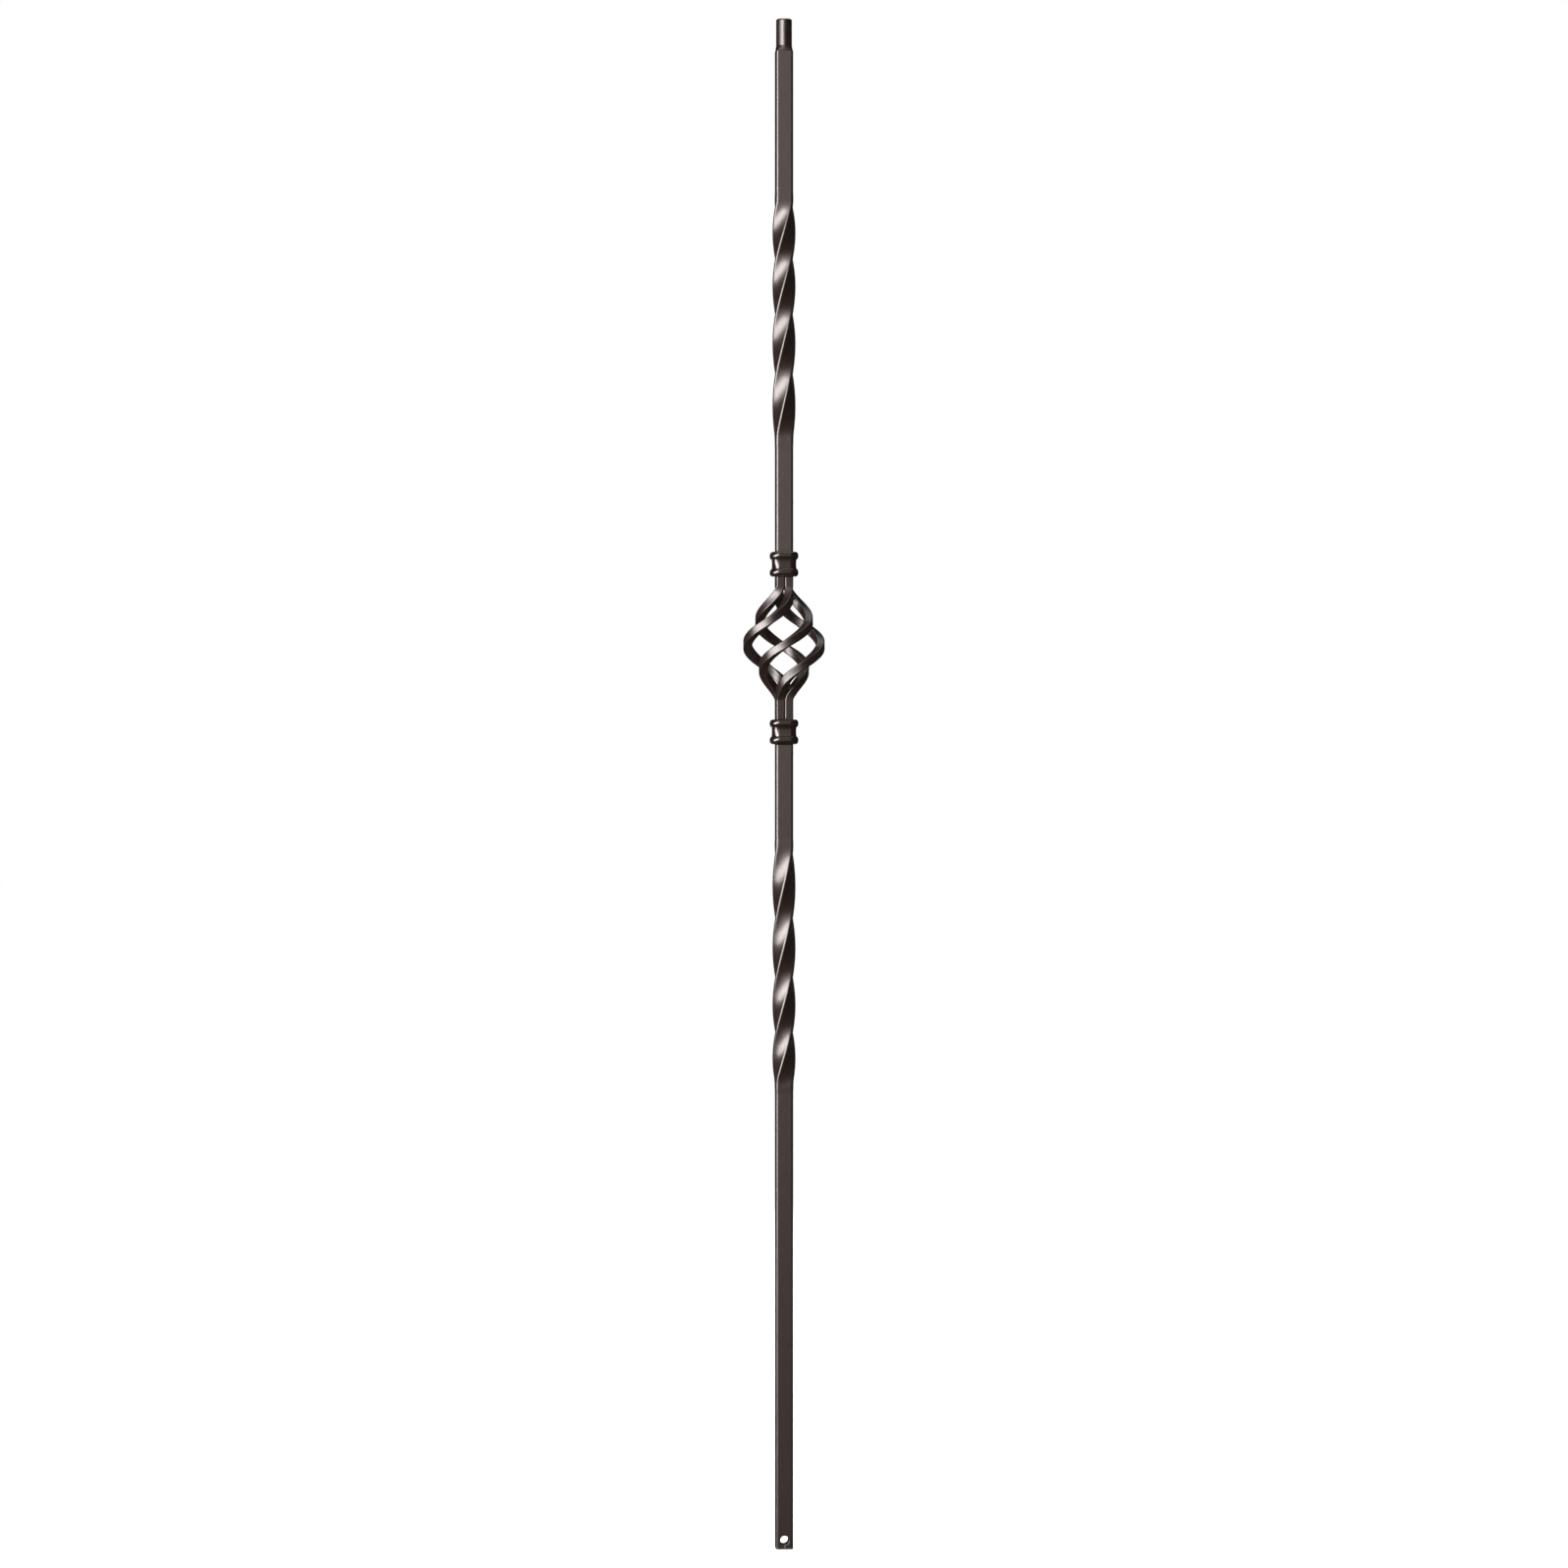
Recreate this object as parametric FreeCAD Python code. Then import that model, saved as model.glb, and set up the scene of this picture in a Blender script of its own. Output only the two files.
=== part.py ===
"""Iron stair baluster: two twisted square tubes, two collars and a basket of four rods.

Millimetres. +Z is up, the origin is the middle of the cut foot, and -Y is the front.
"""
import math
import os

from FreeCAD import Rotation, Vector
import Part

# Overall length and the square tube
HEIGHT = 1117.6
UPPER_BAR_LENGTH = 398.4
BAR_SIDE = 12.7
BAR_CORNER = 1.7
BAR_WALL = 1.5
BORE_CORNER = 0.6

# Twist in each tube, set back from the tube's end inside the collar, and the share by which it is
# tighter than even at the end away from the basket
TWIST_LENGTH = 176.0
TWIST_QUARTER_TURNS = 4
TWIST_EASE = 7.0
TWIST_LEAD = 0.15
UPPER_TWIST_SETBACK = 90.5
LOWER_TWIST_SETBACK = 82.8

# Swaged round dowel at the top
DOWEL_DIAMETER = 11.6
DOWEL_LENGTH = 19.5
DOWEL_RIM = 1.2
SHOULDER_LENGTH = 4.4

# Cut foot and the cross hole above it
FOOT_EDGE = 0.4
HOLE_DIAMETER = 6.4
HOLE_HEIGHT = 6.7
HOLE_RIM = 0.6

# Collars
COLLAR_HEIGHT = 18.0
COLLAR_SIDE = 17.0
COLLAR_CORNER = 4.4
COLLAR_CLEARANCE = 0.1
BEAD_HEIGHT = 5.8
BEAD_PROUD = 1.75

# Basket of four square rods, which sits a little askew in its collars
ROD_CORNER = 0.8
ROD_GAP = 0.1
BUNDLE_CLEARANCE = 0.3
BASKET_DIAMETER = 59.7
BASKET_LENGTH = 84.2
BASKET_QUARTER_TURNS = 3
BASKET_EASE = 2.5
BASKET_SKEW_DEGREES = 2.5
UPPER_STRAIGHT = 6.4
LOWER_STRAIGHT = 13.8

# Spacing of the points that set out the smooth curves, how far a guide curve runs from its
# centre line, and how closely a swept surface follows them
TWIST_SPACING = 7.2
ROD_SPACING = 2.2
GUIDE_REACH = 20.0
SWEEP_TOLERANCE = 0.002
SWEEP_ANGLE = 0.1
SWEEP_DEGREE = 5

# Sizes that follow from those above
BAR_BORE = BAR_SIDE - 2 * BAR_WALL
COLLAR_BORE = BAR_SIDE + 2 * COLLAR_CLEARANCE
COLLAR_BORE_CORNER = ROD_CORNER + BUNDLE_CLEARANCE
ROD_SIDE = (COLLAR_BORE - 2 * BUNDLE_CLEARANCE - ROD_GAP) / 2
BUNDLE_RADIUS = (ROD_SIDE + ROD_GAP) / math.sqrt(2)
BULGE_RADIUS = (BASKET_DIAMETER - ROD_SIDE) / 2
ROD_LENGTH = COLLAR_HEIGHT + LOWER_STRAIGHT + BASKET_LENGTH + UPPER_STRAIGHT
LOWER_BAR_LENGTH = HEIGHT - UPPER_BAR_LENGTH - ROD_LENGTH
LOWER_JOINT = LOWER_BAR_LENGTH
UPPER_JOINT = LOWER_JOINT + ROD_LENGTH
BASKET_BOTTOM = LOWER_JOINT + COLLAR_HEIGHT / 2 + LOWER_STRAIGHT
BASKET_MIDDLE = BASKET_BOTTOM + BASKET_LENGTH / 2

UP = Vector(0, 0, 1)

# How level an edge lies to count as part of an end face, and the step that gives a rod's slope
LEVEL = 1e-4
SLOPE_STEP = 0.01


def eased_turn(share, ease):
    """Odd ramp from -1 to 1 at a steady rate that fades in and out over `ease` of each half."""
    rate = 1 / (1 - ease / 2)
    reach = abs(share)
    if reach < 1 - ease:
        turned = rate * reach
    else:
        turned = 1 - rate * (1 - reach) ** 2 / (2 * ease)
    return math.copysign(turned, share)


def on_circle(radius, angle):
    """Point at an angle in radians on a circle round the origin."""
    return Vector(radius * math.cos(angle), radius * math.sin(angle), 0)


def arc(centre, radius, start, end):
    """Arc edge from start to end, anticlockwise angles in radians."""
    angles = (start, (start + end) / 2, end)
    return Part.Arc(*[centre + on_circle(radius, angle) for angle in angles]).toShape()


def rounded_square(side, corner):
    """Closed outline of a square with rounded corners: four flats and four arcs."""
    reach = side / 2
    flat = reach - corner
    edges = []
    for quarter in range(4):
        turn = Rotation(UP, 90 * quarter)
        start = turn.multVec(Vector(reach, -flat, 0))
        end = turn.multVec(Vector(reach, flat, 0))
        edges.append(Part.LineSegment(start, end).toShape())
        centre = turn.multVec(Vector(flat, flat, 0))
        first = quarter * math.pi / 2
        edges.append(arc(centre, corner, first, first + math.pi / 2))
    return Part.Wire(edges)


def rounded_square_as_circle(side, corner, radius):
    """Circle split into eight arcs that pair with the edges of a rounded square."""
    split = math.atan2(side / 2 - corner, side / 2)
    edges = []
    for quarter in range(4):
        middle = quarter * math.pi / 2
        edges.append(arc(Vector(), radius, middle - split, middle + split))
        edges.append(arc(Vector(), radius, middle + split, middle + math.pi / 2 - split))
    return Part.Wire(edges)


def straight_run(outline, bottom, top):
    """Prism of an outline between two heights."""
    return Part.Face(outline.translated(UP * bottom)).extrude(UP * (top - bottom))


def smooth_line(points):
    """Smooth curve through points."""
    curve = Part.BSplineCurve()
    curve.interpolate(points)
    return Part.Wire([curve.toShape()])


def guided_sweep(outline, centre_line, guide_line):
    """Solid swept along a centre line, turned so that one face follows the guide line."""
    sweep = Part.BRepOffsetAPI.MakePipeShell(centre_line)
    sweep.setAuxiliarySpine(guide_line, False, 0)
    sweep.setTolerance(SWEEP_TOLERANCE, SWEEP_TOLERANCE, SWEEP_ANGLE)
    sweep.setMaxDegree(SWEEP_DEGREE)
    sweep.add(outline)
    sweep.build()
    sweep.makeSolid()
    return sweep.shape()


def heights(bottom, top, spacing):
    """Even heights from the bottom to the top of a run, as near to a spacing as whole steps give."""
    steps = round((top - bottom) / spacing)
    return [bottom + (top - bottom) * step / steps for step in range(steps + 1)]


def twisted_run(outline, bottom, lead):
    """Twisted length of bar, square with the straight runs and tighter at its bottom by a lead."""
    ease = 2 * TWIST_EASE / TWIST_LENGTH
    full_turn = math.radians(90 * TWIST_QUARTER_TURNS)
    top = bottom + TWIST_LENGTH
    guides = []
    for height in heights(bottom, top, TWIST_SPACING):
        share = 2 * (height - bottom) / TWIST_LENGTH - 1
        even = (1 + eased_turn(share, ease)) / 2
        angle = full_turn * (even + lead * even * (1 - even))
        guides.append(on_circle(GUIDE_REACH, angle) + UP * height)
    axis = Part.Wire([Part.makeLine(UP * bottom, UP * top)])
    return guided_sweep(outline.translated(UP * bottom), axis, smooth_line(guides))


def joined(pieces):
    """One solid from stacked or overlapping solids."""
    return pieces[0].fuse(pieces[1:]).removeSplitter()


def lower_bar_form(side, corner):
    """Solid form of the lower bar for one outline, tube or bore."""
    outline = rounded_square(side, corner)
    twist_top = LOWER_JOINT - LOWER_TWIST_SETBACK
    twist_bottom = twist_top - TWIST_LENGTH
    return joined([
        straight_run(outline, 0, twist_bottom),
        twisted_run(outline, twist_bottom, TWIST_LEAD),
        straight_run(outline, twist_top, LOWER_JOINT),
    ])


def upper_bar_form(side, corner, dowel_radius):
    """Solid form of the upper bar for one outline, tube or bore."""
    outline = rounded_square(side, corner)
    round_end = rounded_square_as_circle(side, corner, dowel_radius)
    twist_bottom = UPPER_JOINT + UPPER_TWIST_SETBACK
    twist_top = twist_bottom + TWIST_LENGTH
    dowel_bottom = HEIGHT - DOWEL_LENGTH
    shoulder_bottom = dowel_bottom - SHOULDER_LENGTH
    shoulder = Part.makeLoft([
        outline.translated(UP * shoulder_bottom),
        round_end.translated(UP * dowel_bottom),
    ], True, True)
    return joined([
        straight_run(outline, UPPER_JOINT, twist_bottom),
        twisted_run(outline, twist_bottom, -TWIST_LEAD),
        straight_run(outline, twist_top, shoulder_bottom),
        shoulder,
        Part.makeCylinder(dowel_radius, DOWEL_LENGTH, UP * dowel_bottom),
    ])


def cross_hole():
    """Cutter for the hole through the foot, flared to a rolled rim at both faces."""
    radius = HOLE_DIAMETER / 2
    face = BAR_SIDE / 2
    wall_end = face - HOLE_RIM
    mouth = radius + HOLE_RIM
    inset = HOLE_RIM * (1 - math.sqrt(0.5))
    past = face + HOLE_RIM
    near_arc = Part.Arc(Vector(radius, wall_end, 0), Vector(radius + inset, face - inset, 0),
                        Vector(mouth, face, 0)).toShape()
    far_arc = Part.Arc(Vector(mouth, -face, 0), Vector(radius + inset, inset - face, 0),
                       Vector(radius, -wall_end, 0)).toShape()
    outline = Part.Wire([
        far_arc,
        Part.makeLine(Vector(radius, -wall_end, 0), Vector(radius, wall_end, 0)),
        near_arc,
        Part.makeLine(Vector(mouth, face, 0), Vector(mouth, past, 0)),
        Part.makeLine(Vector(mouth, past, 0), Vector(0, past, 0)),
        Part.makeLine(Vector(0, past, 0), Vector(0, -past, 0)),
        Part.makeLine(Vector(0, -past, 0), Vector(mouth, -past, 0)),
        Part.makeLine(Vector(mouth, -past, 0), Vector(mouth, -face, 0)),
    ])
    cutter = Part.Face(outline).revolve(Vector(), Vector(0, 1, 0), 360)
    return cutter.translated(UP * HOLE_HEIGHT)


def eased_end(form, height, radius):
    """Form with the edges of its end face at a height rounded over."""
    edges = []
    for edge in form.Edges:
        box = edge.BoundBox
        if abs(box.ZMin - height) < LEVEL and abs(box.ZMax - height) < LEVEL:
            edges.append(edge)
    return form.makeFillet(radius, edges)


def lower_bar():
    """Square tube with a twist, eased at the cut foot and drilled through."""
    outside = eased_end(lower_bar_form(BAR_SIDE, BAR_CORNER), 0, FOOT_EDGE)
    inside = lower_bar_form(BAR_BORE, BORE_CORNER)
    return outside.cut(inside).cut(cross_hole())


def upper_bar():
    """Square tube with a twist, swaged to an open round dowel with a rolled rim."""
    radius = DOWEL_DIAMETER / 2
    outside = eased_end(upper_bar_form(BAR_SIDE, BAR_CORNER, radius), HEIGHT, DOWEL_RIM)
    inside = upper_bar_form(BAR_BORE, BORE_CORNER, radius - BAR_WALL)
    return outside.cut(inside)


def collar_profile(along):
    """Closed section of a collar's wall: a waist between two half-round beads."""
    face = COLLAR_SIDE / 2
    inner = face - COLLAR_CORNER / 2
    top = COLLAR_HEIGHT / 2
    bead_heights = (BEAD_HEIGHT / 2 - top, top - BEAD_HEIGHT / 2)
    beads = []
    for height in bead_heights:
        centre = Vector(face, along, height)
        pole = centre + UP * (BEAD_HEIGHT / 2)
        tip = centre + Vector(BEAD_PROUD, 0, 0)
        beads.append(Part.ArcOfEllipse(Part.Ellipse(pole, tip, centre), 0, math.pi).toShape())
    corners = [
        Vector(face, along, BEAD_HEIGHT - top),
        Vector(face, along, top - BEAD_HEIGHT),
        Vector(face, along, top),
        Vector(inner, along, top),
        Vector(inner, along, -top),
        Vector(face, along, -top),
    ]
    return Part.Wire([
        beads[0],
        Part.makeLine(corners[0], corners[1]),
        beads[1],
        Part.makeLine(corners[2], corners[3]),
        Part.makeLine(corners[3], corners[4]),
        Part.makeLine(corners[4], corners[5]),
    ])


def collar(middle):
    """Square knuckle swept round a rounded square, bored to slide over the bar and the rods."""
    top = COLLAR_HEIGHT / 2
    sweep = Part.BRepOffsetAPI.MakePipeShell(rounded_square(COLLAR_SIDE, COLLAR_CORNER))
    sweep.setBiNormalMode(UP)
    sweep.add(collar_profile(COLLAR_CORNER - COLLAR_SIDE / 2))
    sweep.build()
    sweep.makeSolid()
    bore = straight_run(rounded_square(COLLAR_BORE, COLLAR_BORE_CORNER), -top, top)
    return sweep.shape().cut(bore).translated(UP * middle)


def rod_centre(height, start):
    """Point on a rod's centre line, its angle round the axis and the share of its turn."""
    share = max(-1.0, min(1.0, 2 * (height - BASKET_MIDDLE) / BASKET_LENGTH))
    bulge = (1 - share ** 2) ** 2
    radius = BUNDLE_RADIUS + (BULGE_RADIUS - BUNDLE_RADIUS) * bulge
    turned = eased_turn(share, 2 * BASKET_EASE / BASKET_LENGTH)
    angle = math.radians(start + 45 * BASKET_QUARTER_TURNS * (1 + turned))
    return on_circle(radius, angle) + UP * height, angle, turned


def rod_face(height, start):
    """Direction that one face of a rod looks: outwards at the bulge, square with the bar at the ends."""
    angle, turned = rod_centre(height, start)[1:]
    along = rod_centre(height + SLOPE_STEP, start)[0] - rod_centre(height - SLOPE_STEP, start)[0]
    along.normalize()
    radial = on_circle(1, angle)
    radial = (radial - along * radial.dot(along)).normalize()
    roll = math.radians(45 * turned)
    return radial * math.cos(roll) + along.cross(radial) * math.sin(roll)


def basket_rod(number):
    """Square rod from joint to joint: a bundled end, a turn round the open basket, a bundled end."""
    start = BASKET_SKEW_DEGREES + 45 + 90 * number
    centres = []
    guides = []
    for height in heights(LOWER_JOINT, UPPER_JOINT, ROD_SPACING):
        centre = rod_centre(height, start)[0]
        centres.append(centre)
        guides.append(centre + rod_face(height, start) * GUIDE_REACH)
    outline = rounded_square(ROD_SIDE, ROD_CORNER).rotated(Vector(), UP, BASKET_SKEW_DEGREES)
    return guided_sweep(outline.translated(centres[0]), smooth_line(centres), smooth_line(guides))


def main():
    """Write one file for each piece."""
    os.makedirs("parts", exist_ok=True)
    pieces = {
        "lower_bar": lower_bar(),
        "upper_bar": upper_bar(),
        "lower_collar": collar(LOWER_JOINT),
        "upper_collar": collar(UPPER_JOINT),
    }
    for number in range(4):
        pieces[f"basket_rod_{number + 1}"] = basket_rod(number)
    for name, shape in pieces.items():
        shape.exportStep(f"parts/{name}.step")


main()
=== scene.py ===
"""Iron stair baluster: powder coat on the packed solids, the coat's own details, and the studio."""
import math

import bmesh
import bpy
from bpy.props import FloatProperty, FloatVectorProperty, IntProperty, PointerProperty
from bpy.types import Operator, Panel, PropertyGroup
from mathutils import Matrix, Vector


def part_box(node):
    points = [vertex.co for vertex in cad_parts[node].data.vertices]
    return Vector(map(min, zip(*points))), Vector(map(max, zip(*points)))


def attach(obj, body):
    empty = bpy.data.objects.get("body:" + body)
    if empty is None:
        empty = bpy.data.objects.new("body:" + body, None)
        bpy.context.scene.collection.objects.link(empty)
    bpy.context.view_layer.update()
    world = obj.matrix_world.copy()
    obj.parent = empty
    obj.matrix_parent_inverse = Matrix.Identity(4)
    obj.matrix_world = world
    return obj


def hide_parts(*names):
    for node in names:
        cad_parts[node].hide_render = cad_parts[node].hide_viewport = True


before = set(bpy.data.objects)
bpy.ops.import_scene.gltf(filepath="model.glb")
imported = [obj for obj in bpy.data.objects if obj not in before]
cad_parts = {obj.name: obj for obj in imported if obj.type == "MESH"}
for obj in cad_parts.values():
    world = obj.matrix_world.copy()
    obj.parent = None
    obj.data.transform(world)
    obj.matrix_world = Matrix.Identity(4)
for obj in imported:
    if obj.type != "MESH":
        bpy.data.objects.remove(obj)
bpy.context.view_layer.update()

bl_info = {
    "name": "Iron stair baluster",
    "version": (1, 0, 0),
    "blender": (4, 5, 0),
    "location": "3D View > Sidebar > Baluster",
    "description": "Coats a twisted basket baluster and sets up its studio",
    "category": "Object",
}

MM = 0.001
BARS = ("lower_bar", "upper_bar")
COLLARS = ("lower_collar", "upper_collar")
RODS = ("basket_rod_1", "basket_rod_2", "basket_rod_3", "basket_rod_4")
# An edge that turns more than this is drawn sharp.
SHARP_EDGE = math.radians(50)
# Places of a Mix node's two colours and of its mixed colour.
MIX_FIRST = 6
MIX_SECOND = 7
MIX_COLOUR = 2
# Turns of the edges of the black cards round the bar, in degrees to the right of the front.
CARD_EDGES = {"right": (3, 50, 110, 168), "left": (-30, -79, -130, -178)}


def linear(code):
    """Linear colour of an sRGB hex code."""
    shares = [int(code[place:place + 2], 16) / 255 for place in (1, 3, 5)]
    return tuple(c / 12.92 if c <= 0.04045 else ((c + 0.055) / 1.055) ** 2.4 for c in shares)


WHITE = linear("#ffffff")


def waves(size):
    """Noise scale whose features are about this size, in metres."""
    return 1 / size


class CoatSettings(PropertyGroup):
    """Colours, gloss and grain of the powder coat."""
    bar_dark: FloatVectorProperty(
        name="Bar coat, dark", description="Darker tone of the coat on bars and rods",
        subtype="COLOR", size=3, min=0, max=1, default=linear("#1b100d"))
    bar_light: FloatVectorProperty(
        name="Bar coat, light", description="Lighter tone of the coat on bars and rods",
        subtype="COLOR", size=3, min=0, max=1, default=linear("#261814"))
    bar_roughness: FloatProperty(
        name="Bar roughness", description="Roughness of the coat on bars and rods",
        subtype="FACTOR", min=0, max=1, default=0.32)
    collar_dark: FloatVectorProperty(
        name="Collar coat, dark", description="Darker tone of the coat on the collars",
        subtype="COLOR", size=3, min=0, max=1, default=linear("#160e0b"))
    collar_light: FloatVectorProperty(
        name="Collar coat, light", description="Lighter tone of the coat on the collars",
        subtype="COLOR", size=3, min=0, max=1, default=linear("#1f140f"))
    collar_roughness: FloatProperty(
        name="Collar roughness", description="Roughness of the coat on the collars",
        subtype="FACTOR", min=0, max=1, default=0.2)
    spread: FloatProperty(
        name="Gloss spread", description="How far the streaks raise and lower the roughness",
        subtype="FACTOR", min=0, max=0.2, default=0.03)
    sheen: FloatVectorProperty(
        name="Sheen", description="Tint that the fine metal flakes in the coat give its reflections",
        subtype="COLOR", size=3, min=0, max=1, default=linear("#fff6f3"))
    mottle: FloatProperty(
        name="Mottle size", description="Size of the cloudy patches in the coat",
        subtype="DISTANCE", default=9 * MM)
    peel: FloatProperty(
        name="Peel size", description="Size of the orange-peel waves in the coat",
        subtype="DISTANCE", default=1.6 * MM)
    # Real streaks are finer. These are as coarse as they need to be to show.
    streak: FloatProperty(
        name="Streak width", description="Width of the fine streaks along the bars and across the rods",
        subtype="DISTANCE", default=0.7 * MM)
    streak_length: FloatProperty(
        name="Streak length", description="Length of the fine streaks",
        subtype="DISTANCE", default=12 * MM)
    relief: FloatProperty(
        name="Relief", description="Height of the peel and the streaks",
        subtype="DISTANCE", default=0.007 * MM)


class BarSettings(PropertyGroup):
    """The square tube of the two bars, and the coat over its twists."""
    side: FloatProperty(
        name="Side", description="Side of the square tube", subtype="DISTANCE", default=12.7 * MM)
    corner: FloatProperty(
        name="Corner", description="Corner radius of the square tube",
        subtype="DISTANCE", default=1.7 * MM)
    twist: FloatProperty(
        name="Twist length", description="Height of a twist", subtype="DISTANCE", default=176 * MM)
    turn: FloatProperty(
        name="Turn", description="Turn of a twist", subtype="ANGLE", default=2 * math.pi)
    ease: FloatProperty(
        name="Ease", description="Height over which a twist fades in and out",
        subtype="DISTANCE", default=7 * MM)
    lead: FloatProperty(
        name="Lead", description="Share by which a twist is tighter than even away from the basket",
        default=0.15)
    upper_setback: FloatProperty(
        name="Upper setback", description="Height of the upper twist above the upper bar's end",
        subtype="DISTANCE", default=90.5 * MM)
    lower_setback: FloatProperty(
        name="Lower setback", description="Distance of the lower twist below the lower bar's end",
        subtype="DISTANCE", default=82.8 * MM)
    coat: FloatProperty(
        name="Coat", description="How far the coat stands proud of the twisted iron",
        subtype="DISTANCE", default=0.15 * MM)
    fade: FloatProperty(
        name="Fade", description="Height over which the coat thins out past a twist",
        subtype="DISTANCE", default=8 * MM)
    spacing: FloatProperty(
        name="Ring spacing", description="Height between cross-sections of the coat",
        subtype="DISTANCE", default=1.2 * MM)


class RodSettings(PropertyGroup):
    """The four square rods of the basket."""
    side: FloatProperty(
        name="Side", description="Side of a rod", subtype="DISTANCE", default=6.1 * MM)
    corner: FloatProperty(
        name="Corner", description="Corner radius of a rod", subtype="DISTANCE", default=0.8 * MM)
    spacing: FloatProperty(
        name="Spacing", description="Distance between the middles of neighbouring rods in the bundle",
        subtype="DISTANCE", default=6.2 * MM)
    length: FloatProperty(
        name="Basket length", description="Height of the open basket",
        subtype="DISTANCE", default=84.2 * MM)
    bulge: FloatProperty(
        name="Bulge radius", description="Distance from the axis to a rod's middle at the bulge",
        subtype="DISTANCE", default=26.8 * MM)
    above: FloatProperty(
        name="Lower straight", description="Height of the basket's bottom above the lower joint",
        subtype="DISTANCE", default=22.8 * MM)
    ease: FloatProperty(
        name="Ease", description="Height over which the turn fades in and out",
        subtype="DISTANCE", default=2.5 * MM)
    turn: FloatProperty(
        name="Turn", description="Turn of a rod round the axis", subtype="ANGLE", default=1.5 * math.pi)
    skew: FloatProperty(
        name="Skew", description="Turn of the basket in its collars",
        subtype="ANGLE", default=math.radians(2.5))
    rings: IntProperty(
        name="Rings", description="Cross-sections along a rod", min=20, default=180)


class CollarSettings(PropertyGroup):
    """The two cast collars, and the coat that gathers where bars and rods enter them."""
    side: FloatProperty(
        name="Waist side", description="Side of the square waist", subtype="DISTANCE", default=17 * MM)
    corner: FloatProperty(
        name="Waist corner", description="Corner radius of the waist", subtype="DISTANCE", default=4.4 * MM)
    bore: FloatProperty(
        name="Bore side", description="Side of the square hole", subtype="DISTANCE", default=12.9 * MM)
    bore_corner: FloatProperty(
        name="Bore corner", description="Corner radius of the hole", subtype="DISTANCE", default=1.1 * MM)
    bead: FloatProperty(
        name="Bead height", description="Height of a bead", subtype="DISTANCE", default=5.8 * MM)
    proud: FloatProperty(
        name="Bead reach", description="How far a bead stands out from the waist",
        subtype="DISTANCE", default=1.75 * MM)
    seam: FloatProperty(
        name="Seam reach", description="How far the gathered coat runs up the bar and over the collar",
        subtype="DISTANCE", default=0.7 * MM)


class DripSettings(PropertyGroup):
    """Run of coat below the hole in the foot."""
    width: FloatProperty(
        name="Width", description="Width of the run", subtype="DISTANCE", default=1.3 * MM)
    length: FloatProperty(
        name="Length", description="Length of the run", subtype="DISTANCE", default=3.0 * MM)
    thickness: FloatProperty(
        name="Thickness", description="Height of the run above the face",
        subtype="DISTANCE", default=0.28 * MM)
    narrowing: FloatProperty(
        name="Narrowing", description="Share by which the run narrows upwards and widens downwards",
        subtype="FACTOR", min=0, max=1, default=0.35)
    aside: FloatProperty(
        name="Aside", description="Place of the run to the right of the foot's middle",
        subtype="DISTANCE", default=0.5 * MM)
    height: FloatProperty(
        name="Height", description="Height of the middle of the run above the foot's end",
        subtype="DISTANCE", default=1.6 * MM)


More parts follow.
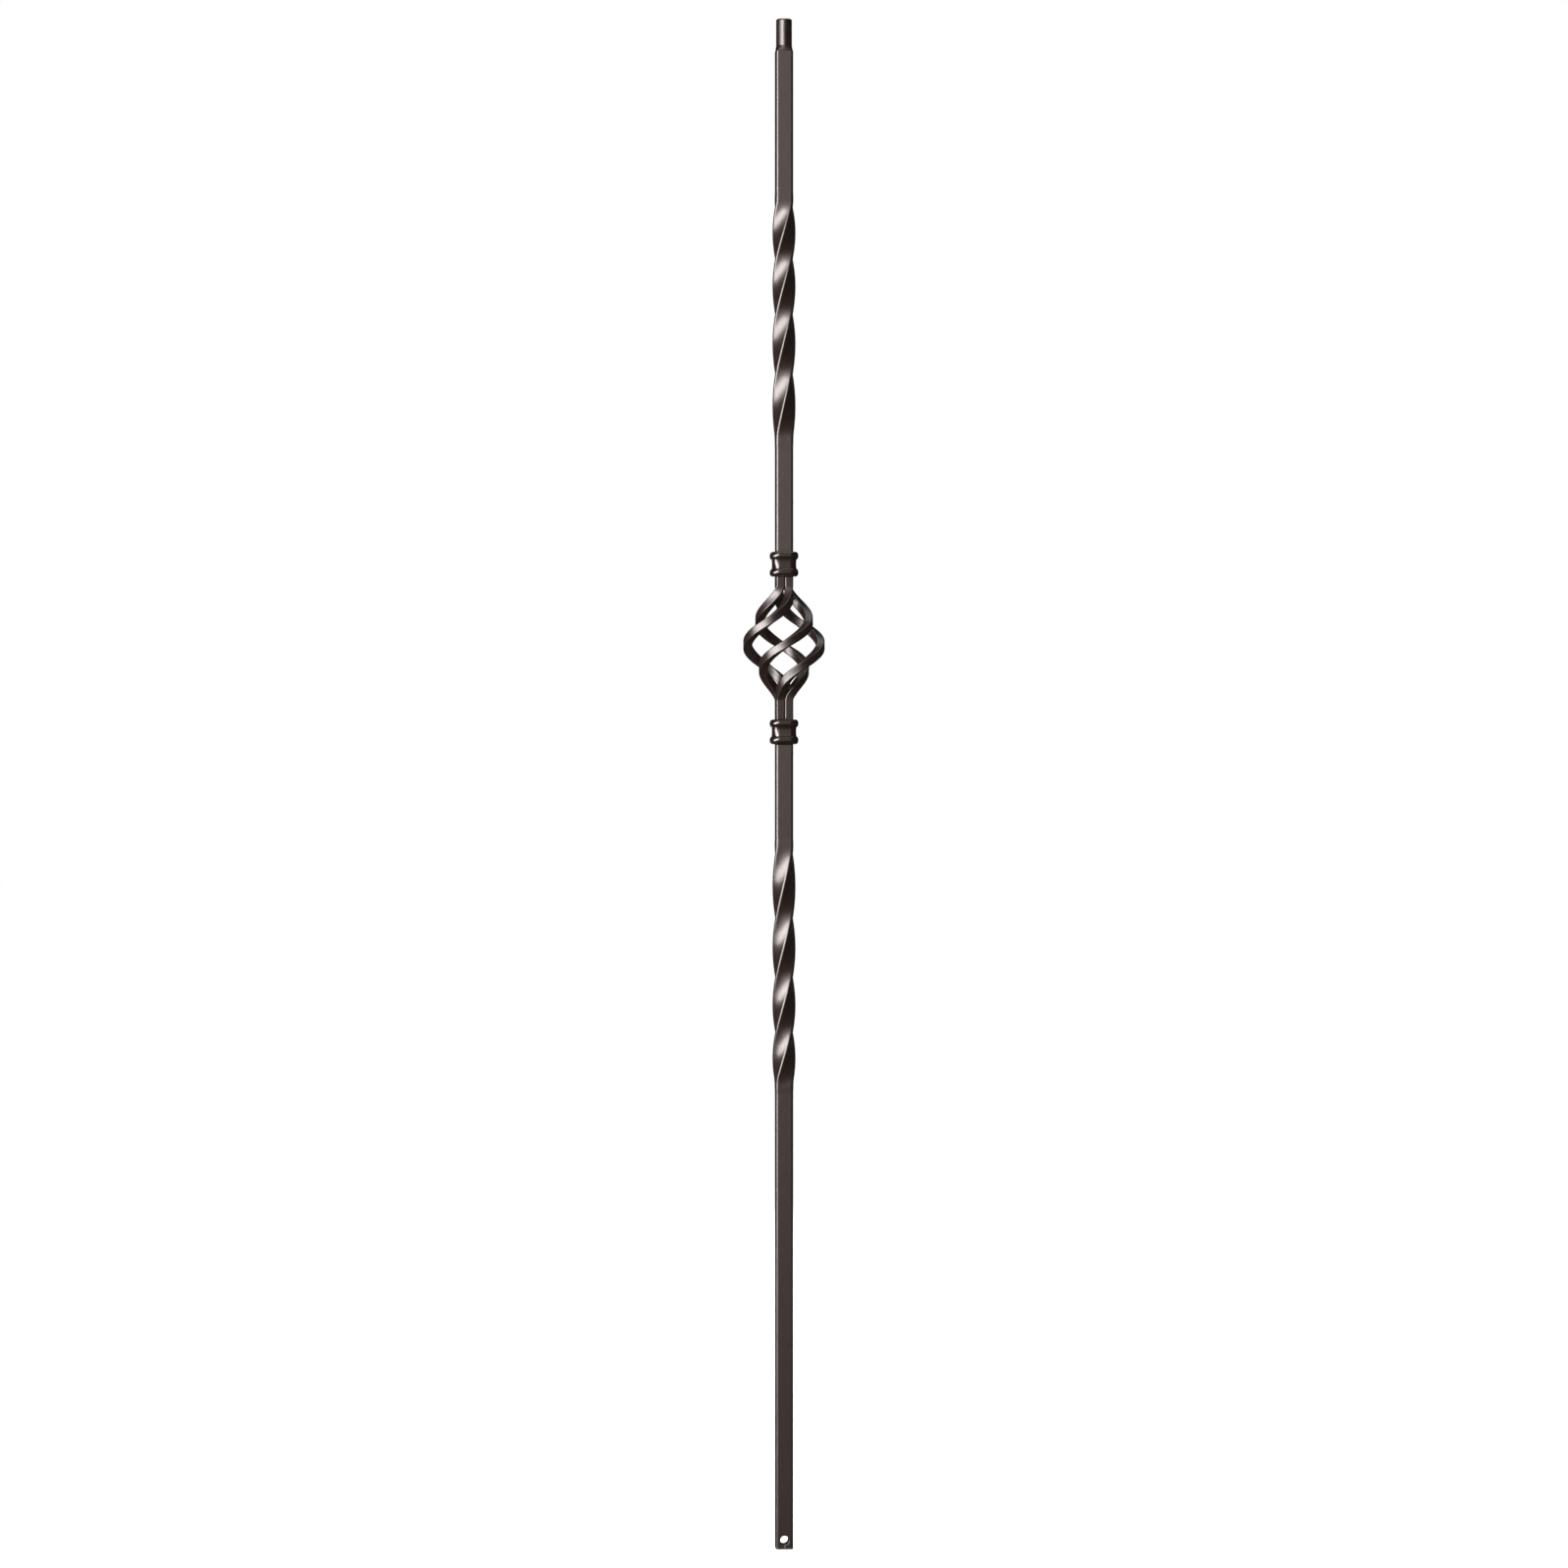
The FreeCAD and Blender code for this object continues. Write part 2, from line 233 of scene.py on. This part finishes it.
class StudioSettings(PropertyGroup):
    """Camera, lamps, floor and cards."""
    turn: FloatProperty(
        name="Camera turn", description="Turn of the camera to the left of the front",
        subtype="ANGLE", default=math.radians(4.8))
    distance: FloatProperty(
        name="Camera distance", description="Distance of the camera from the bar's axis",
        subtype="DISTANCE", default=4.4)
    level: FloatProperty(
        name="Camera level", description="Height of the camera above the foot",
        subtype="DISTANCE", default=0.5587)
    view_width: FloatProperty(
        name="View width", description="Width of the picture at the bar's axis",
        subtype="DISTANCE", default=1.1458)
    lamp_distance: FloatProperty(
        name="Lamp distance", description="Distance of each lamp from the bar's axis",
        subtype="DISTANCE", default=3.0)
    key_power: FloatProperty(
        name="Softbox power", description="Power of the softbox at the front left",
        subtype="POWER", default=185.0)
    key_turn: FloatProperty(
        name="Softbox turn", description="Place of the softbox to the left of the camera",
        subtype="ANGLE", default=math.radians(44))
    key_level: FloatProperty(
        name="Softbox level", description="Height of the middle of the softbox",
        subtype="DISTANCE", default=0.8)
    key_width: FloatProperty(
        name="Softbox width", description="Width of the softbox", subtype="DISTANCE", default=1.3)
    key_length: FloatProperty(
        name="Softbox length", description="Length of the softbox", subtype="DISTANCE", default=4.4)
    key_roll: FloatProperty(
        name="Softbox roll", description="How far the top of the softbox leans to the camera",
        subtype="ANGLE", default=math.radians(62))
    fill_power: FloatProperty(
        name="Fill power", description="Power of each of the two lamps behind",
        subtype="POWER", default=130.0)
    fill_turn: FloatProperty(
        name="Fill turn", description="Turn of each lamp behind from the front",
        subtype="ANGLE", default=math.radians(150))
    fill_level: FloatProperty(
        name="Fill level", description="Height of the lamps behind", subtype="DISTANCE", default=1.2)
    fill_target: FloatProperty(
        name="Fill target", description="Height on the bar that the lamps behind look at",
        subtype="DISTANCE", default=0.62)
    fill_side: FloatProperty(
        name="Fill side", description="Side of each square lamp behind", subtype="DISTANCE", default=2.0)
    ambient: FloatProperty(
        name="Ambient", description="Strength of the even light from all round",
        min=0, default=0.3)
    floor_colour: FloatVectorProperty(
        name="Floor colour", description="Colour of the pale floor",
        subtype="COLOR", size=3, min=0, max=1, default=linear("#e7e7e7"))
    floor_reach: FloatProperty(
        name="Floor reach", description="Distance from the bar to each edge of the floor",
        subtype="DISTANCE", default=30.0)
    card_colour: FloatVectorProperty(
        name="Card colour", description="Colour of the black cards",
        subtype="COLOR", size=3, min=0, max=1, default=linear("#272727"))
    card_distance: FloatProperty(
        name="Card distance", description="Distance of the edges of the black cards from the bar's axis",
        subtype="DISTANCE", default=3.6)
    card_height: FloatProperty(
        name="Card height", description="Height of the black cards round the bar",
        subtype="DISTANCE", default=7.0)
    card_reach: FloatProperty(
        name="Floor card reach", description="Distance from the bar to each edge of the card on the floor",
        subtype="DISTANCE", default=4.0)


def add_node(tree, kind, settings=(), links=()):
    """Adds a node, sets its values and joins its inputs, which go by name or number."""
    node = tree.nodes.new(kind)
    for name, value in dict(settings).items():
        if isinstance(name, int) or name in node.inputs:
            node.inputs[name].default_value = value
        else:
            setattr(node, name, value)
    for name, socket in dict(links).items():
        tree.links.new(socket, node.inputs[name])
    return node


def new_tree(owner):
    """Empty node tree of a material or world."""
    owner.use_nodes = True
    owner.node_tree.nodes.clear()
    return owner.node_tree


def powder_coat(name, dark, light, roughness, coat, across=False):
    """Bronze powder coat, sprayed and baked on iron.

    The eye sees a dark brown with cloudy tone, soft highlights, a slight orange peel and the fine
    streaks of the iron below it, which lie along a drawn bar and across a bent rod. Metal flakes
    in the coat warm its highlights, and on a smooth casting they are sharper.
    """
    material = bpy.data.materials.new(name)
    tree = new_tree(material)
    coordinates = add_node(tree, "ShaderNodeTexCoord")
    place = coordinates.outputs["Object"]
    mottle = add_node(tree, "ShaderNodeTexNoise", {
        "Scale": waves(coat.mottle), "Detail": 3.0, "Roughness": 0.6,
    }, {"Vector": place})
    tone = add_node(tree, "ShaderNodeMix", {
        "data_type": "RGBA", MIX_FIRST: (*dark, 1), MIX_SECOND: (*light, 1),
    }, {0: mottle.outputs["Fac"]})
    stretch = (waves(coat.streak), waves(coat.streak), waves(coat.streak_length))
    if across:
        stretch = (waves(coat.streak), waves(coat.streak_length), 1)
    grain = add_node(tree, "ShaderNodeMapping", {
        "Scale": stretch,
    }, {"Vector": coordinates.outputs["UV"] if across else place})
    streaks = add_node(tree, "ShaderNodeTexNoise", {
        "Scale": 1.0, "Detail": 2.0, "Roughness": 0.5,
    }, {"Vector": grain.outputs["Vector"]})
    gloss = add_node(tree, "ShaderNodeMapRange", {
        "From Min": 0.3, "From Max": 0.7,
        "To Min": roughness - coat.spread, "To Max": roughness + coat.spread,
    }, {"Value": streaks.outputs["Fac"]})
    peel = add_node(tree, "ShaderNodeTexNoise", {
        "Scale": waves(coat.peel), "Detail": 1.0,
    }, {"Vector": place})
    heights = add_node(tree, "ShaderNodeMath", {
        "operation": "ADD",
    }, {0: streaks.outputs["Fac"], 1: peel.outputs["Fac"]})
    bump = add_node(tree, "ShaderNodeBump", {
        "Strength": 0.25, "Distance": coat.relief,
    }, {"Height": heights.outputs[0]})
    shader = add_node(tree, "ShaderNodeBsdfPrincipled", {
        "IOR": 1.6, "Specular IOR Level": 1.0, "Specular Tint": (*coat.sheen, 1),
    }, {
        "Base Color": tone.outputs[MIX_COLOUR],
        "Roughness": gloss.outputs["Result"],
        "Normal": bump.outputs["Normal"],
    })
    add_node(tree, "ShaderNodeOutputMaterial", links={"Surface": shader.outputs["BSDF"]})
    return material


def coat_node(name, material):
    """Gives a packed solid its coat."""
    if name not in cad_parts:
        raise RuntimeError(f"the packed part has no {name}")
    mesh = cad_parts[name].data
    mesh.materials.clear()
    mesh.materials.append(material)


def coat_named(name):
    """A coat that an earlier operator made."""
    material = bpy.data.materials.get(name)
    if material is None:
        raise RuntimeError(f"no operator has made {name} yet")
    return material


def rounded_square(side, corner, height, steps, across=1):
    """Points of a level square with rounded corners.

    Each corner has a point on the flat beside it, and each flat is split into parts across.
    """
    flat = side / 2 - corner
    beside = 0.05 * flat
    points = []
    for quarter in range(4):
        start = quarter * math.pi / 2
        out = Vector((math.cos(start), math.sin(start), 0))
        along = Vector((-math.sin(start), math.cos(start), 0))
        points.append(out * (flat + corner) + along * (flat - beside))
        for step in range(steps + 1):
            angle = math.pi / 2 * step / steps
            spoke = out * math.cos(angle) + along * math.sin(angle)
            points.append((out + along) * flat + spoke * corner)
        for part in range(across):
            share = 1 - 2 * part / across
            points.append(out * (flat - beside) * share + along * (flat + corner))
    for point in points:
        point.z = height
    return points


def ring_mesh(name, rings, ends=False):
    """Closed mesh through rings of points: with flat ends, or the last ring joined to the first.

    Its UV map holds metres along and around the rings, for streaks that follow the form.
    """
    build = bmesh.new()
    metres = build.loops.layers.uv.new("metres")
    rows = [[build.verts.new(point) for point in ring] for ring in rings]
    reach = 0.0
    for row, after in zip(rows, rows[1:] if ends else rows[1:] + rows[:1]):
        further = reach + (after[0].co - row[0].co).length
        girth = 0.0
        for place, vert in enumerate(row):
            beside = (place + 1) % len(row)
            wider = girth + (row[beside].co - vert.co).length
            face = build.faces.new((vert, row[beside], after[beside], after[place]))
            spots = ((reach, girth), (reach, wider), (further, wider), (further, girth))
            for loop, spot in zip(face.loops, spots):
                loop[metres].uv = spot
            girth = wider
        reach = further
    if ends:
        build.faces.new(rows[0])
        build.faces.new(rows[-1])
    bmesh.ops.recalc_face_normals(build, faces=build.faces)
    mesh = bpy.data.meshes.new(name)
    build.to_mesh(mesh)
    build.free()
    mesh.shade_smooth()
    mesh.set_sharp_from_angle(angle=SHARP_EDGE)
    return mesh


def place_piece(mesh, material):
    """Puts a new piece, named for its mesh, on the part's body with its coat."""
    piece = bpy.data.objects.new(mesh.name, mesh)
    bpy.context.scene.collection.objects.link(piece)
    mesh.materials.append(material)
    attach(piece, "root")
    return piece


def eased_turn(share, ease):
    """Odd ramp from -1 to 1 at a steady rate that fades in and out over `ease` of each half."""
    rate = 1 / (1 - ease / 2)
    reach = abs(share)
    turned = rate * reach if reach < 1 - ease else 1 - rate * (1 - reach) ** 2 / (2 * ease)
    return math.copysign(turned, share)


class BALUSTER_OT_bars(Operator):
    """Coat the two square tubes"""
    bl_idname = "baluster.bars"
    bl_label = "Coat bars"

    def execute(self, context):
        coat = context.scene.baluster_coat
        material = powder_coat("satin_bronze_powder_coat", coat.bar_dark, coat.bar_light,
                               coat.bar_roughness, coat)
        for name in BARS:
            coat_node(name, material)
        return {"FINISHED"}


class BALUSTER_OT_twists(Operator):
    """Lay the coat over the twists of the two bars"""
    bl_idname = "baluster.twists"
    bl_label = "Coat twists"

    def execute(self, context):
        bar = context.scene.baluster_bar
        material = coat_named("satin_bronze_powder_coat")
        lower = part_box("lower_bar")[1].z - bar.lower_setback - bar.twist
        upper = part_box("upper_bar")[0].z + bar.upper_setback
        for name, bottom, lead in (("lower_twist", lower, bar.lead), ("upper_twist", upper, -bar.lead)):
            mesh = ring_mesh(f"{name}_coat", self.rings(bar, bottom, lead))
            place_piece(mesh, material)
        return {"FINISHED"}

    def rings(self, bar, bottom, lead):
        """Rings up the outside of the coat, which sinks into the iron at both ends, and back inside it."""
        start = bottom - bar.fade
        whole = bar.twist + 2 * bar.fade
        count = round(whole / bar.spacing)
        sunk = 0.5 * bar.coat
        inner = 3 * bar.coat
        outside = []
        inside = []
        for step in range(count + 1):
            height = start + whole * step / count
            reach = min(1.0, min(step, count - step) * whole / count / bar.fade)
            proud = (bar.coat + sunk) * reach ** 2 * (3 - 2 * reach) - sunk
            outside.append(self.ring(bar, proud, height, bottom, lead))
            inside.append(self.ring(bar, -inner, height, bottom, lead))
        return outside + inside[::-1]

    def ring(self, bar, proud, height, bottom, lead):
        """One cross-section, turned as far as the bar is at its height."""
        share = max(-1.0, min(1.0, 2 * (height - bottom) / bar.twist - 1))
        even = (1 + eased_turn(share, 2 * bar.ease / bar.twist)) / 2
        turned = Matrix.Rotation(bar.turn * (even + lead * even * (1 - even)), 3, "Z")
        section = rounded_square(bar.side + 2 * proud, bar.corner + proud, height, steps=6, across=6)
        return [turned @ point for point in section]


class BALUSTER_OT_rods(Operator):
    """Form and coat the four basket rods"""
    bl_idname = "baluster.rods"
    bl_label = "Form rods"

    def execute(self, context):
        rod = context.scene.baluster_rod
        coat = context.scene.baluster_coat
        material = powder_coat("satin_bronze_powder_coat_on_rods", coat.bar_dark, coat.bar_light,
                               coat.bar_roughness, coat, across=True)
        section = rounded_square(rod.side, rod.corner, 0, steps=5, across=4)
        for number, name in enumerate(RODS):
            low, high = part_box(name)
            middle = low.z + rod.above + rod.length / 2
            start = rod.skew + math.radians(45 + 90 * number)
            rings = []
            for step in range(rod.rings + 1):
                height = low.z + (high.z - low.z) * step / rod.rings
                rings.append(self.ring(rod, section, height, middle, start))
            piece = place_piece(ring_mesh(f"rod_{number + 1}", rings, ends=True), material)
            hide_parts(name)
        return {"FINISHED"}

    def centre(self, rod, height, middle, start):
        """Point on a rod's centre line, its angle and the share of its turn."""
        share = max(-1.0, min(1.0, 2 * (height - middle) / rod.length))
        bundle = rod.spacing / math.sqrt(2)
        radius = bundle + (rod.bulge - bundle) * (1 - share ** 2) ** 2
        turned = eased_turn(share, 2 * rod.ease / rod.length)
        angle = start + rod.turn / 2 * (1 + turned)
        return Vector((radius * math.cos(angle), radius * math.sin(angle), height)), angle, turned

    def ring(self, rod, section, height, middle, start):
        """One cross-section: a face outwards at the bulge, square with the bundle at the ends."""
        step = 0.05 * MM
        point, angle, turned = self.centre(rod, height, middle, start)
        ahead = self.centre(rod, height + step, middle, start)[0]
        behind = self.centre(rod, height - step, middle, start)[0]
        along = (ahead - behind).normalized()
        radial = Vector((math.cos(angle), math.sin(angle), 0))
        radial = (radial - along * radial.dot(along)).normalized()
        roll = math.pi / 4 * turned
        face = radial * math.cos(roll) + along.cross(radial) * math.sin(roll)
        beside = along.cross(face)
        return [point + face * corner.x + beside * corner.y for corner in section]


class BALUSTER_OT_collars(Operator):
    """Form and coat the two cast collars"""
    bl_idname = "baluster.collars"
    bl_label = "Form collars"

    def execute(self, context):
        coat = context.scene.baluster_coat
        collar = context.scene.baluster_collar
        material = powder_coat("gloss_bronze_powder_coat", coat.collar_dark, coat.collar_light,
                               coat.collar_roughness, coat)
        for name in COLLARS:
            low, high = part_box(name)
            mesh = ring_mesh(f"{name}_cast", self.rings(collar, low.z, high.z))
            piece = place_piece(mesh, material)
            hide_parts(name)
        return {"FINISHED"}

    def rings(self, collar, bottom, top):
        """Rings up the outside, over the two beads and the waist, and back down the bore."""
        half = collar.bead / 2
        steps = 16
        outline = []
        for middle in (bottom + half, top - half):
            for step in range(steps + 1):
                angle = math.pi * (step / steps - 0.5)
                outline.append((collar.proud * math.cos(angle), middle + half * math.sin(angle)))
        soft = [outline[0]]
        for before, here, after in zip(outline, outline[1:], outline[2:]):
            soft.append(tuple((b + 2 * h + a) / 4 for b, h, a in zip(before, here, after)))
        soft.append(outline[-1])
        rings = [
            rounded_square(collar.side + 2 * out, collar.corner + out, up, steps=8)
            for out, up in soft
        ]
        for level in (top, bottom):
            rings.append(rounded_square(collar.bore, collar.bore_corner, level, steps=8))
        return rings


class BALUSTER_OT_seams(Operator):
    """Gather coat in the corners where the bars and rods enter the collars"""
    bl_idname = "baluster.seams"
    bl_label = "Add coat seams"

    def execute(self, context):
        bar = context.scene.baluster_bar
        rod = context.scene.baluster_rod
        reach = context.scene.baluster_collar.seam
        material = coat_named("satin_bronze_powder_coat")
        on_bar = (bar.side, bar.corner)
        on_rods = (rod.spacing + rod.side, rod.corner)
        for name in COLLARS:
            low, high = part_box(name)
            under, over = (on_bar, on_rods) if name == "lower_collar" else (on_rods, on_bar)
            ends = (("under", low.z, -1, under), ("over", high.z, 1, over))
            for label, level, outward, (side, corner) in ends:
                mesh = ring_mesh(f"{name}_seam_{label}", self.rings(side, corner, level, outward, reach))
                place_piece(mesh, material)
        return {"FINISHED"}

    def rings(self, side, corner, level, outward, reach):
        """Rings of a hollow corner bead from the bar's wall to the collar's end."""
        sunk = 0.1 * reach
        steps = 6
        profile = [(-sunk, -sunk), (-sunk, reach)]
        for step in range(steps + 1):
            angle = math.pi / 2 * step / steps
            profile.append((reach * (1 - math.cos(angle)), reach * (1 - math.sin(angle))))
        profile.append((reach, -sunk))
        return [
            rounded_square(side + 2 * out, corner + out, level + outward * up, steps=6)
            for out, up in profile
        ]


class BALUSTER_OT_drip(Operator):
    """Add the run of coat below the hole in the foot"""
    bl_idname = "baluster.drip"
    bl_label = "Add coat drip"

    def execute(self, context):
        drip = context.scene.baluster_drip
        face = -context.scene.baluster_bar.side / 2
        sunk = 0.1 * drip.thickness
        rows = 12
        around = 24
        build = bmesh.new()
        loops = []
        for row in range(1, rows + 1):
            share = row / rows
            height = drip.thickness * (1 - share ** 2) - sunk
            loop = []
            for place in range(around):
                angle = 2 * math.pi * place / around
                taper = 1 - drip.narrowing * math.sin(angle) * share
                loop.append(build.verts.new((
                    drip.aside + drip.width / 2 * share * math.cos(angle) * taper,
                    face - height,
                    drip.height + drip.length / 2 * share * math.sin(angle),
                )))
            loops.append(loop)
        tip = build.verts.new((drip.aside, face - drip.thickness + sunk, drip.height))
        for place in range(around):
            beside = (place + 1) % around
            build.faces.new((tip, loops[0][place], loops[0][beside]))
            for inner, outer in zip(loops, loops[1:]):
                build.faces.new((inner[place], outer[place], outer[beside], inner[beside]))
        build.faces.new(loops[-1])
        bmesh.ops.recalc_face_normals(build, faces=build.faces)
        mesh = bpy.data.meshes.new("foot_drip")
        build.to_mesh(mesh)
        build.free()
        mesh.shade_smooth()
        place_piece(mesh, coat_named("satin_bronze_powder_coat"))
        return {"FINISHED"}


def aim(thing, target):
    """Turns a lamp or camera to look at a point."""
    thing.rotation_euler = (Vector(target) - thing.location).to_track_quat("-Z", "Y").to_euler()


def round_the_bar(turn, distance, height):
    """Point at a turn to the right of the front, seen from above."""
    return Vector((distance * math.sin(turn), -distance * math.cos(turn), height))


def soft_lamp(name, place, target, size, power, roll=0):
    """Large soft white lamp that looks at a height on the bar, turned about its own axis by a roll."""
    data = bpy.data.lights.new(name, "AREA")
    data.shape = "RECTANGLE"
    data.size, data.size_y = size
    data.energy = power
    data.color = WHITE
    lamp = bpy.data.objects.new(name, data)
    bpy.context.scene.collection.objects.link(lamp)
    lamp.location = place
    aim(lamp, (0, 0, target))
    lamp.rotation_euler.rotate_axis("Z", roll)
    return lamp


def level_square(reach, height):
    """Corners of a level square round the bar."""
    return [(x * reach, y * reach, height) for x, y in ((-1, -1), (1, -1), (1, 1), (-1, 1))]


def flat_sheet(name, corners, material):
    """Flat stage sheet with four corners."""
    mesh = bpy.data.meshes.new(name)
    mesh.from_pydata([tuple(corner) for corner in corners], [], [(0, 1, 2, 3)])
    mesh.materials.append(material)
    sheet = bpy.data.objects.new(name, mesh)
    bpy.context.scene.collection.objects.link(sheet)
    return sheet


class BALUSTER_OT_studio(Operator):
    """Set the floor, the background, the cards, the lamps and the camera"""
    bl_idname = "baluster.studio"
    bl_label = "Set up studio"

    def execute(self, context):
        studio = context.scene.baluster_studio
        scene = context.scene
        scene.view_settings.view_transform = "Standard"
        self.background(scene, studio)
        self.floor(studio)
        self.cards(studio)
        self.lamps(studio)
        self.camera(scene, studio)
        return {"FINISHED"}

    def seen(self, tree):
        """1 for rays that see the background: camera, glossy and transmission rays."""
        path = add_node(tree, "ShaderNodeLightPath")
        first = add_node(tree, "ShaderNodeMath", {
            "operation": "MAXIMUM",
        }, {0: path.outputs["Is Camera Ray"], 1: path.outputs["Is Glossy Ray"]})
        every = add_node(tree, "ShaderNodeMath", {
            "operation": "MAXIMUM",
        }, {0: first.outputs[0], 1: path.outputs["Is Transmission Ray"]})
        return every.outputs[0]

    def background(self, scene, studio):
        """White to the eye and in reflections, and a weak even light otherwise."""
        world = bpy.data.worlds.new("white_background")
        scene.world = world
        tree = new_tree(world)
        strength = add_node(tree, "ShaderNodeMapRange", {
            "To Min": studio.ambient, "To Max": 1.0,
        }, {"Value": self.seen(tree)})
        sky = add_node(tree, "ShaderNodeBackground", {
            "Color": (*WHITE, 1),
        }, {"Strength": strength.outputs["Result"]})
        add_node(tree, "ShaderNodeOutputWorld", links={"Surface": sky.outputs["Background"]})

    def floor(self, studio):
        """Pale floor that keeps the shadow and fades into the background.

        Its glow brings what it returns of the even light up to the background's white.
        """
        material = bpy.data.materials.new("pale_studio_floor")
        tree = new_tree(material)
        paint = add_node(tree, "ShaderNodeBsdfDiffuse", {"Color": (*studio.floor_colour, 1)})
        lift = add_node(tree, "ShaderNodeMapRange", {
            "To Min": 0.0, "To Max": 1.0 - studio.floor_colour[0] * studio.ambient,
        }, {"Value": self.seen(tree)})
        glow = add_node(tree, "ShaderNodeEmission", {
            "Color": (*WHITE, 1),
        }, {"Strength": lift.outputs["Result"]})
        both = add_node(tree, "ShaderNodeAddShader", links={
            0: paint.outputs["BSDF"], 1: glow.outputs["Emission"],
        })
        add_node(tree, "ShaderNodeOutputMaterial", links={"Surface": both.outputs[0]})
        flat_sheet("studio_floor", level_square(studio.floor_reach, 0), material)

    def cards(self, studio):
        """Black cards round the bar and on the floor, seen only in its reflections.

        They leave a gap at the front left, where the coat shows the white background.
        """
        material = bpy.data.materials.new("black_card")
        tree = new_tree(material)
        paint = add_node(tree, "ShaderNodeBsdfDiffuse", {"Color": (*studio.card_colour, 1)})
        add_node(tree, "ShaderNodeOutputMaterial", links={"Surface": paint.outputs["BSDF"]})
        cards = [("floor_card", level_square(studio.card_reach, MM))]
        top = studio.card_height
        for hand, turns in CARD_EDGES.items():
            for label, start, end in zip(("front", "side", "back"), turns, turns[1:]):
                cards.append((f"{hand}_card_{label}", [
                    round_the_bar(math.radians(turn), studio.card_distance, height)
                    for turn, height in ((start, 0), (end, 0), (end, top), (start, top))
                ]))
        for name, corners in cards:
            card = flat_sheet(name, corners, material)
            card.visible_camera = False
            card.visible_diffuse = False
            card.visible_shadow = False

    def lamps(self, studio):
        """Long softbox at the front left, its top leaning to the camera, and two lamps behind.

        The lamps behind light the coat and aren't seen in its reflections.
        """
        place = round_the_bar(-studio.turn - studio.key_turn, studio.lamp_distance, studio.key_level)
        soft_lamp("softbox_left", place, studio.key_level, (studio.key_width, studio.key_length),
                  studio.key_power, -studio.key_roll)
        for name, turn in (("fill_right", studio.fill_turn), ("fill_left", -studio.fill_turn)):
            place = round_the_bar(turn, studio.lamp_distance, studio.fill_level)
            lamp = soft_lamp(name, place, studio.fill_target, (studio.fill_side, studio.fill_side),
                             studio.fill_power)
            lamp.visible_glossy = False

    def camera(self, scene, studio):
        """Level camera a little to the left of the front."""
        data = bpy.data.cameras.new("camera")
        data.lens = data.sensor_width * studio.distance / studio.view_width
        camera = bpy.data.objects.new("camera", data)
        scene.collection.objects.link(camera)
        camera.location = round_the_bar(-studio.turn, studio.distance, studio.level)
        aim(camera, (0, 0, studio.level))
        scene.camera = camera


class VIEW3D_PT_baluster(Panel):
    """Pieces and studio of the baluster"""
    bl_label = "Iron stair baluster"
    bl_idname = "VIEW3D_PT_baluster"
    bl_space_type = "VIEW_3D"
    bl_region_type = "UI"
    bl_category = "Baluster"

    def draw(self, context):
        layout = self.layout
        for operator in STEPS:
            layout.operator(operator.bl_idname)
        for name, kind in SETTINGS.items():
            box = layout.box()
            box.label(text=kind.__doc__)
            for setting in kind.__annotations__:
                box.prop(getattr(context.scene, name), setting)


SETTINGS = {
    "baluster_coat": CoatSettings,
    "baluster_bar": BarSettings,
    "baluster_rod": RodSettings,
    "baluster_collar": CollarSettings,
    "baluster_drip": DripSettings,
    "baluster_studio": StudioSettings,
}
STEPS = (
    BALUSTER_OT_bars,
    BALUSTER_OT_twists,
    BALUSTER_OT_rods,
    BALUSTER_OT_collars,
    BALUSTER_OT_seams,
    BALUSTER_OT_drip,
    BALUSTER_OT_studio,
)


def register():
    """Adds the settings, the operators and the panel."""
    for name, kind in SETTINGS.items():
        bpy.utils.register_class(kind)
        setattr(bpy.types.Scene, name, PointerProperty(type=kind))
    for kind in (*STEPS, VIEW3D_PT_baluster):
        bpy.utils.register_class(kind)


def unregister():
    """Takes the panel, the operators and the settings away again."""
    for kind in (VIEW3D_PT_baluster, *reversed(STEPS)):
        bpy.utils.unregister_class(kind)
    for name, kind in reversed(SETTINGS.items()):
        delattr(bpy.types.Scene, name)
        bpy.utils.unregister_class(kind)


def main():
    """Builds every piece in order."""
    register()
    bpy.ops.baluster.bars()
    bpy.ops.baluster.twists()
    bpy.ops.baluster.rods()
    bpy.ops.baluster.collars()
    bpy.ops.baluster.seams()
    bpy.ops.baluster.drip()
    bpy.ops.baluster.studio()


if __name__ == "__main__":
    main()
